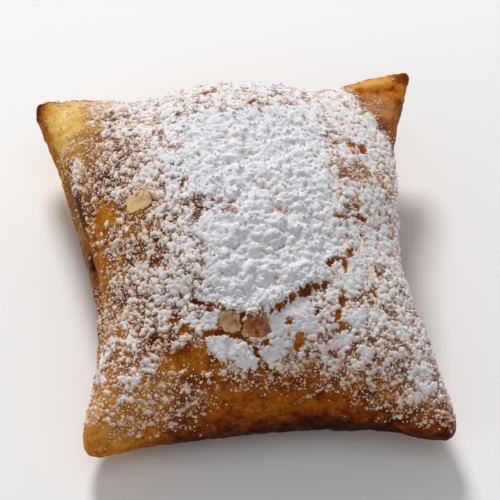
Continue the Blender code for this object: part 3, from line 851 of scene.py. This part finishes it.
def sugarSheet(name, faces, root=0.35, least=-0.08):
    places, normals, bakeAndPaintedLight, ochre, dust, children, middles = cutInFour(faces)
    depth, cover, lean = np.full((3, len(places)), -1.0)
    used = np.unique(children)
    depth[used], cover[used], lean[used], _ = sugarOn(places[used], normals[used])
    keep = (depth[children] > least).any(axis=(1, 2))
    faces, children, middles = faces[keep], children[keep], middles[keep]
    # the rim: edges of the coarse faces that one face uses, each with the point halfway along
    edges = np.concatenate([np.stack([faces[:, i], middles[:, i], np.roll(faces, -1, axis=1)[:, i]], axis=1)
                            for i in range(4)])
    code = np.sort(edges[:, [0, 2]], axis=1) @ (len(places), 1)
    _, first, times = np.unique(code, return_index=True, return_counts=True)
    rim = edges[first[times == 1]]
    tops, underneath = np.unique(children), np.unique(faces)
    topRow, lowRow = np.zeros((2, len(places)), int)
    topRow[tops] = np.arange(len(tops))
    lowRow[underneath] = len(tops) + np.arange(len(underneath))
    top = places[tops] + normals[tops] * depth[tops][:, None]
    low = places[underneath] + normals[underneath] * (np.minimum(depth[underneath], 0) - root)[:, None]
    upper = topRow[children].reshape(-1, 4)
    walls = np.column_stack([topRow[rim[:, ::-1]], lowRow[rim[:, 0]], lowRow[rim[:, 2]]])
    piece = buildMesh(name, np.concatenate([top, low]),
                      upper.tolist() + lowRow[faces][:, ::-1].tolist() + walls.tolist(), powderedSugar)
    piece.data.set_sharp_from_angle(angle=math.radians(sugarLook["sharpAngle"]))
    warmth = np.clip(warmthOf(lean) + 0.8 * (1 - easeIn(depth, 0.02, 0.42)), 0, 1)
    whole = {"bakeAndPaintedLight": bakeAndPaintedLight, "ochre": ochre, "dust": dust, "cover": cover, "warmth": warmth}
    storeValues(piece, {title: np.concatenate([values[tops], values[underneath]])
                        for title, values in whole.items()})
    sheetTops.append((top, upper, depth[tops], lean[tops]))
    return piece


# x, y, long, wide, turn, how brown, how much powder, the side that curls up (as an angle), how high it curls
flakeLook = {
    "flakes": [(-19.9, 5, 2.7, 2.2, 10, 0.16, 0.52, 200, 0.3),
               (-4.6, -23.6, 2.1, 1.8, -8, 0.56, 0.5, 90, 0),
               (0.4, -25, 2.9, 2, -12, 0.64, 0.24, 120, 0.1)],
    "rings": 8,
    "spokes": 48,
    "squareness": 6,       # 2 is round, more is squarer
    "thickness": 0.15,
    "lift": 0.03,
    "crumple": 0.12,
    "follow": 0.45,        # how far it follows the crust's bumps
}


def flakeFaces(rings, spokes):
    # the faces of a round chip: its top in rings about the middle, the same underneath, and the rim
    inner = np.arange(1, 1 + (rings - 1) * spokes)
    follow = inner + 1 - spokes * (np.arange(len(inner)) % spokes == spokes - 1)
    tops = [(0, i + 1, (i + 1) % spokes + 1) for i in range(spokes)]
    tops += np.stack([inner, inner + spokes, follow + spokes, follow], axis=1).tolist()
    count = 1 + rings * spokes
    edge = 1 + (rings - 1) * spokes + np.arange(spokes)
    nextEdge = np.roll(edge, -1)
    faces = tops + [tuple(corner + count for corner in reversed(face)) for face in tops]
    return count, faces + np.stack([edge, edge + count, nextEdge + count, nextEdge], axis=1).tolist()


def makeFlakes():
    # ragged chips that follow the crust stiffly and curl up along one edge
    ground = BVHTree.FromPolygons(crustPlaces.tolist(), crustFaces.tolist())
    rings, spokes = flakeLook["rings"], flakeLook["spokes"]
    thickness, squareness, follow = [flakeLook[name] for name in ("thickness", "squareness", "follow")]
    angles = np.linspace(0, 2 * np.pi, spokes, endpoint=False)
    circle = np.stack([np.cos(angles), np.sin(angles)], axis=1)
    shares = np.linspace(0, 1, rings + 1)[1:, None, None]
    count, faces = flakeFaces(rings, spokes)
    allPlaces, allFaces, bakes, covers = [], [], [], []
    for number, (x, y, long, wide, turn, brown, powder, curl, rise) in enumerate(flakeLook["flakes"]):
        rim = np.column_stack([1.5 * circle, np.full(spokes, 7.3 * number)])
        reach = (circle ** squareness).sum(axis=1) ** (-1 / squareness)
        reach *= (0.92 + 0.12 * softNoise(rim, 1.1, 51)) * (1 + 0.12 * softNoise(rim, 0.4, 52))
        flat = np.concatenate([[[0, 0]], (shares * (reach[:, None] * circle)).reshape(-1, 2)])
        slant, bend = math.radians(turn), math.radians(curl)
        u, v = (flat * (long, wide)).T
        across, along = u * math.cos(slant) - v * math.sin(slant), u * math.sin(slant) + v * math.cos(slant)
        heights = np.array([ground.ray_cast(Vector((x + a, y + b, 60)), Vector((0, 0, -1)))[0].z
                            for a, b in zip(across, along)])
        plane = np.column_stack([np.ones(len(u)), across, along])
        plane = plane @ np.linalg.lstsq(plane, heights, rcond=None)[0]
        spot = np.column_stack([across, along, np.full(len(u), 5.1 * number)])
        lifted = rise * np.clip((across * math.cos(bend) + along * math.sin(bend)) / long, 0, 1.2) ** 2
        upper = (1 - follow) * plane + follow * heights + thickness + flakeLook["lift"] + lifted
        upper += flakeLook["crumple"] * softNoise(spot, 1.1, 53)
        away = np.clip(np.hypot(*flat.T) ** 4, 0, 1)
        lower = upper - thickness * (1 - 0.5 * away)
        upper = upper - 0.3 * thickness * away
        for level, darker in [(upper, 0), (lower, 0.16)]:
            allPlaces.append(np.column_stack([x + across, y + along, level]))
            bakes.append(brown + darker + 0.16 * softNoise(spot, 0.8, 54) + 0.13 * flat.sum(axis=1))
            covers.append(powder * (1 + 0.5 * softNoise(spot, 1.3, 55)) + 0.25 * away)
        allFaces += [tuple(corner + 2 * count * number for corner in face) for face in faces]
    piece = buildMesh("crustFlakes", np.concatenate(allPlaces), allFaces, friedCrust)
    bakes, covers = np.concatenate(bakes), np.concatenate(covers)
    storeValues(piece, {"bakeAndPaintedLight": np.clip(bakes, 0.02, 1), "cover": covers, "ochre": 0 * covers,
                        "dust": 0.7 * covers})
    return piece


flakes = makeFlakes()

sheetTops = []
worth = (crustLean[crustFaces] > sugarLook["sheetLean"]).any(axis=1)
onCake = crustCake[crustFaces].mean(axis=1) > 0.5
onLeft = crustPlaces[crustFaces, 0].mean(axis=1) < sugarLook["sheetSplit"]

sugarPieces = [
    sugarSheet("sugarCake", crustFaces[worth & onCake]),
    sugarSheet("sugarDustingLeft", crustFaces[worth & ~onCake & onLeft]),
    sugarSheet("sugarDustingRight", crustFaces[worth & ~onCake & ~onLeft]),
]


# loose sugar, scattered by geometry nodes

fullTurn = 6.283


def randomNode(tree, low, high, seed):
    # a number by chance for each bead, or a vector between two vectors
    isVector = isinstance(low, tuple)
    first = 0 if isVector else 2
    node = addNode(tree, "FunctionNodeRandomValue", {first: low, first + 1: high, "Seed": seed},
                   data_type="FLOAT_VECTOR" if isVector else "FLOAT")
    return node.outputs[0 if isVector else 1]


def scaleVector(tree, vector, factor):
    return addNode(tree, "ShaderNodeVectorMath", {0: vector, "Scale": factor}, operation="SCALE").outputs[0]


def geometryNode(tree, kind, values=None, **settings):
    return addNode(tree, "GeometryNode" + kind, values, **settings).outputs[0]


def beadShape(tree, shape, lumpiness):
    if shape == "speck":
        bead = geometryNode(tree, "MeshUVSphere", {"Segments": 4, "Rings": 2, "Radius": 1.0})
    else:
        bead = geometryNode(tree, "MeshIcoSphere", {"Radius": 1.0, "Subdivisions": 1})
    if shape == "clump":
        # a clump is four grains that stick together
        cone = {"Vertices": 3, "Radius Bottom": 0.62, "Radius Top": 0.0, "Depth": 0.75}
        corners = geometryNode(tree, "MeshCone", cone, fill_type="NONE")
        cluster = geometryNode(tree, "InstanceOnPoints", {"Points": corners, "Instance": bead,
                                                          "Scale": randomNode(tree, 0.42, 0.82, 21)})
        bead = geometryNode(tree, "RealizeInstances", {"Geometry": cluster})
    where = geometryNode(tree, "InputPosition")
    dents = calculate(tree, "SUBTRACT", noiseNode(tree, where, 1.3, 1.0), 0.5)
    outward = scaleVector(tree, where, calculate(tree, "MULTIPLY", dents, lumpiness))
    return geometryNode(tree, "SetPosition", {"Geometry": bead, "Offset": outward})


def grainTree(name, shape):
    # scatters one bead over a surface, as thickly as the surface's "scatter" values say
    tree = bpy.data.node_groups.new(name, "GeometryNodeTree")
    tree.is_modifier = True
    for title, kind in [("Geometry", "Geometry"), ("Beads per square mm", "Float"), ("Smallest", "Float"),
                        ("Largest", "Float"), ("Small share", "Float"), ("Bedding", "Float"),
                        ("Lumpiness", "Float"), ("Seed", "Int"), ("Finish", "Material")]:
        addSocket(tree, title, kind)
    addSocket(tree, "Geometry", "Geometry", "OUTPUT")
    given = tree.nodes.new("NodeGroupInput").outputs
    result = tree.nodes.new("NodeGroupOutput")
    thick = geometryNode(tree, "InputNamedAttribute", {"Name": "scatter"}, data_type="FLOAT")
    amount = calculate(tree, "MULTIPLY", thick, given["Beads per square mm"])
    density = calculate(tree, "MULTIPLY", amount, 1 / mm ** 2)    # per square metre
    spread = addNode(tree, "GeometryNodeDistributePointsOnFaces", {
        "Mesh": given["Geometry"], "Density": density, "Seed": given["Seed"]})
    biased = calculate(tree, "POWER", randomNode(tree, 0.0, 1.0, 5), given["Small share"])
    size = rangeNode(tree, biased, given["Smallest"], given["Largest"])
    lift = scaleVector(tree, spread.outputs["Normal"], calculate(tree, "MULTIPLY", size, given["Bedding"]))
    placed = geometryNode(tree, "SetPosition", {"Geometry": spread.outputs["Points"], "Offset": lift})
    turn = randomNode(tree, (0.0, 0.0, 0.0), (fullTurn, fullTurn, fullTurn), 13)
    stretch = randomNode(tree, (0.7, 0.7, 0.5), (1.3, 1.3, 1.0), 9)
    beads = geometryNode(tree, "InstanceOnPoints", {
        "Points": placed, "Instance": beadShape(tree, shape, given["Lumpiness"]), "Rotation": turn,
        "Scale": scaleVector(tree, stretch, size)})
    real = geometryNode(tree, "RealizeInstances", {"Geometry": beads})
    smooth = geometryNode(tree, "SetShadeSmooth", {"Geometry": real})
    finished = geometryNode(tree, "SetMaterial", {"Geometry": smooth, "Material": given["Finish"]})
    setInputs(tree, result, {"Geometry": finished})
    return tree


# how thick the beads lie by the lean: a hump with its middle and width, that ends below a cut, some beads
# far out on the bare crust, and some on the sugar
looseLooks = {
    "sugarClumps": {
        "shape": "clump", "hump": (0.3, 1.3), "cut": (-9, -8), "far": (0.03, -4.2), "onSugar": 0.35,
        "inputs": {"Beads per square mm": 0.70, "Smallest": 0.15 * mm, "Largest": 0.40 * mm,
                   "Small share": 2.0, "Bedding": 0.25, "Lumpiness": 0.9, "Seed": 3, "Finish": looseSugar}},
    "sugarGrains": {
        "shape": "grain", "hump": (0.2, 1.5), "cut": (-2.2, -0.8), "far": (0.02, -4.6), "onSugar": 0.14,
        "inputs": {"Beads per square mm": 2.8, "Smallest": 0.11 * mm, "Largest": 0.29 * mm,
                   "Small share": 1.5, "Bedding": 0.4, "Lumpiness": 0.9, "Seed": 4, "Finish": looseSugar}},
    "sugarSpecks": {
        "shape": "speck", "hump": (0.4, 1.5), "cut": (-9, -8), "far": (0.01, -5), "onSugar": 0.03,
        "inputs": {"Beads per square mm": 5.0, "Smallest": 0.04 * mm, "Largest": 0.09 * mm,
                   "Small share": 1.2, "Bedding": 0.4, "Lumpiness": 0.0, "Seed": 5, "Finish": looseSugar}},
}


def thicknessOf(look, lean):
    middle, width = look["hump"]
    hump = np.exp(-((lean - middle) / width) ** 2) * easeIn(lean, *look["cut"])
    share, start = look["far"]
    return hump + share * easeIn(lean, start, -3)


def scatterSugar(name, look):
    # on the bare crust and on the tops of the sheets
    least = sugarLook["leastDepth"]
    share = np.where(crustDepth < least, thicknessOf(look, crustLean), 0)
    parts = [(crustPlaces, crustFaces, share, crustLean)]
    for top, faces, depth, lean in sheetTops:
        parts.append((top, faces, np.where(depth > least, look["onSugar"], 0), lean))
    faces, count = [], 0
    for places, corners, share, _ in parts:
        faces.append(corners[(share[corners] > 0.01).any(axis=1)] + count)
        count += len(places)
    places, _, share, lean = [list(column) for column in zip(*parts)]
    piece = buildMesh(name, np.concatenate(places), np.concatenate(faces))
    storeValues(piece, {"scatter": np.concatenate(share), "warmth": warmthOf(np.concatenate(lean))})
    tree = grainTree(name + "Scatter", look["shape"])
    modifier = piece.modifiers.new("scatter", "NODES")
    modifier.node_group = tree
    sockets = {item.name: item.identifier for item in tree.interface.items_tree if item.in_out == "INPUT"}
    for title, value in look["inputs"].items():
        modifier[sockets[title]] = value
    return bakeModifiers(piece)


sugarPieces += [scatterSugar(name, look) for name, look in looseLooks.items()]
for piece in sugarPieces:
    print(piece.name + ":", triangleCount(piece), "triangles")


# the room: floor, light and camera

floorLook = {"reach": 3000, "colour": (0.93, 0.93, 0.93, 1), "roughness": 0.8}


def makeFloor():
    material, tree, surface = newMaterial("paleFloor")
    setInputs(tree, surface, {"Base Color": floorLook["colour"], "Roughness": floorLook["roughness"]})
    corners = np.array([(-1, -1, 0), (1, -1, 0), (1, 1, 0), (-1, 1, 0)]) * floorLook["reach"]
    return buildMesh("floor", corners, [(0, 1, 2, 3)], material)


studio = {
    "world": 0.29,
    "lamps": [("backKey", (-0.12, 0.92, 0.80), 0.34, 11.2), ("topFill", (0.15, -0.1, 1.1), 0.9, 1.4),
              ("sideFill", (-0.75, -0.35, 0.30), 0.5, 0.8)],    # name, place, size, power
    "lampTarget": (0, 0, 0.015),
}


def makeLights():
    world = bpy.data.worlds.new("studio")
    world.use_nodes = True
    background = world.node_tree.nodes["Background"]
    setInputs(world.node_tree, background, {"Color": (1, 1, 1, 1), "Strength": studio["world"]})
    bpy.context.scene.world = world
    for name, place, size, power in studio["lamps"]:
        light = bpy.data.lights.new(name, "AREA")
        light.shape = "DISK"
        light.size = size
        light.energy = power
        lamp = addObject(name, light)
        lamp.location = place
        aim = Vector(studio["lampTarget"]) - Vector(place)
        lamp.rotation_euler = aim.to_track_quat("-Z", "Y").to_euler()


photoView = {"azimuth": -6.0, "elevation": 55.0, "lens": 160.0, "sensor": 36.0, "distance": 0.45,
             "target": (0.00096, -0.00174, 0.014), "shift": (3 / 500, 12 / 500)}


def makeCamera():
    turn, rise = math.radians(photoView["azimuth"]), math.radians(photoView["elevation"])
    back = Vector((math.sin(turn) * math.cos(rise), -math.cos(turn) * math.cos(rise), math.sin(rise)))
    lens = bpy.data.cameras.new("camera")
    lens.lens = photoView["lens"]
    lens.sensor_width = photoView["sensor"]
    lens.clip_start = 0.01
    lens.shift_x, lens.shift_y = photoView["shift"]
    camera = addObject("camera", lens)
    camera.location = Vector(photoView["target"]) + back * photoView["distance"]
    camera.rotation_euler = (-back).to_track_quat("-Z", "Y").to_euler()
    bpy.context.scene.camera = camera


floor = makeFloor()
makeLights()
makeCamera()
bpy.context.scene.view_settings.view_transform = "Standard"
print("room ready")

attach(crust, "root")
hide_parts("beignet")
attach(flakes, "root")
for piece in sugarPieces:
    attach(piece, "root")
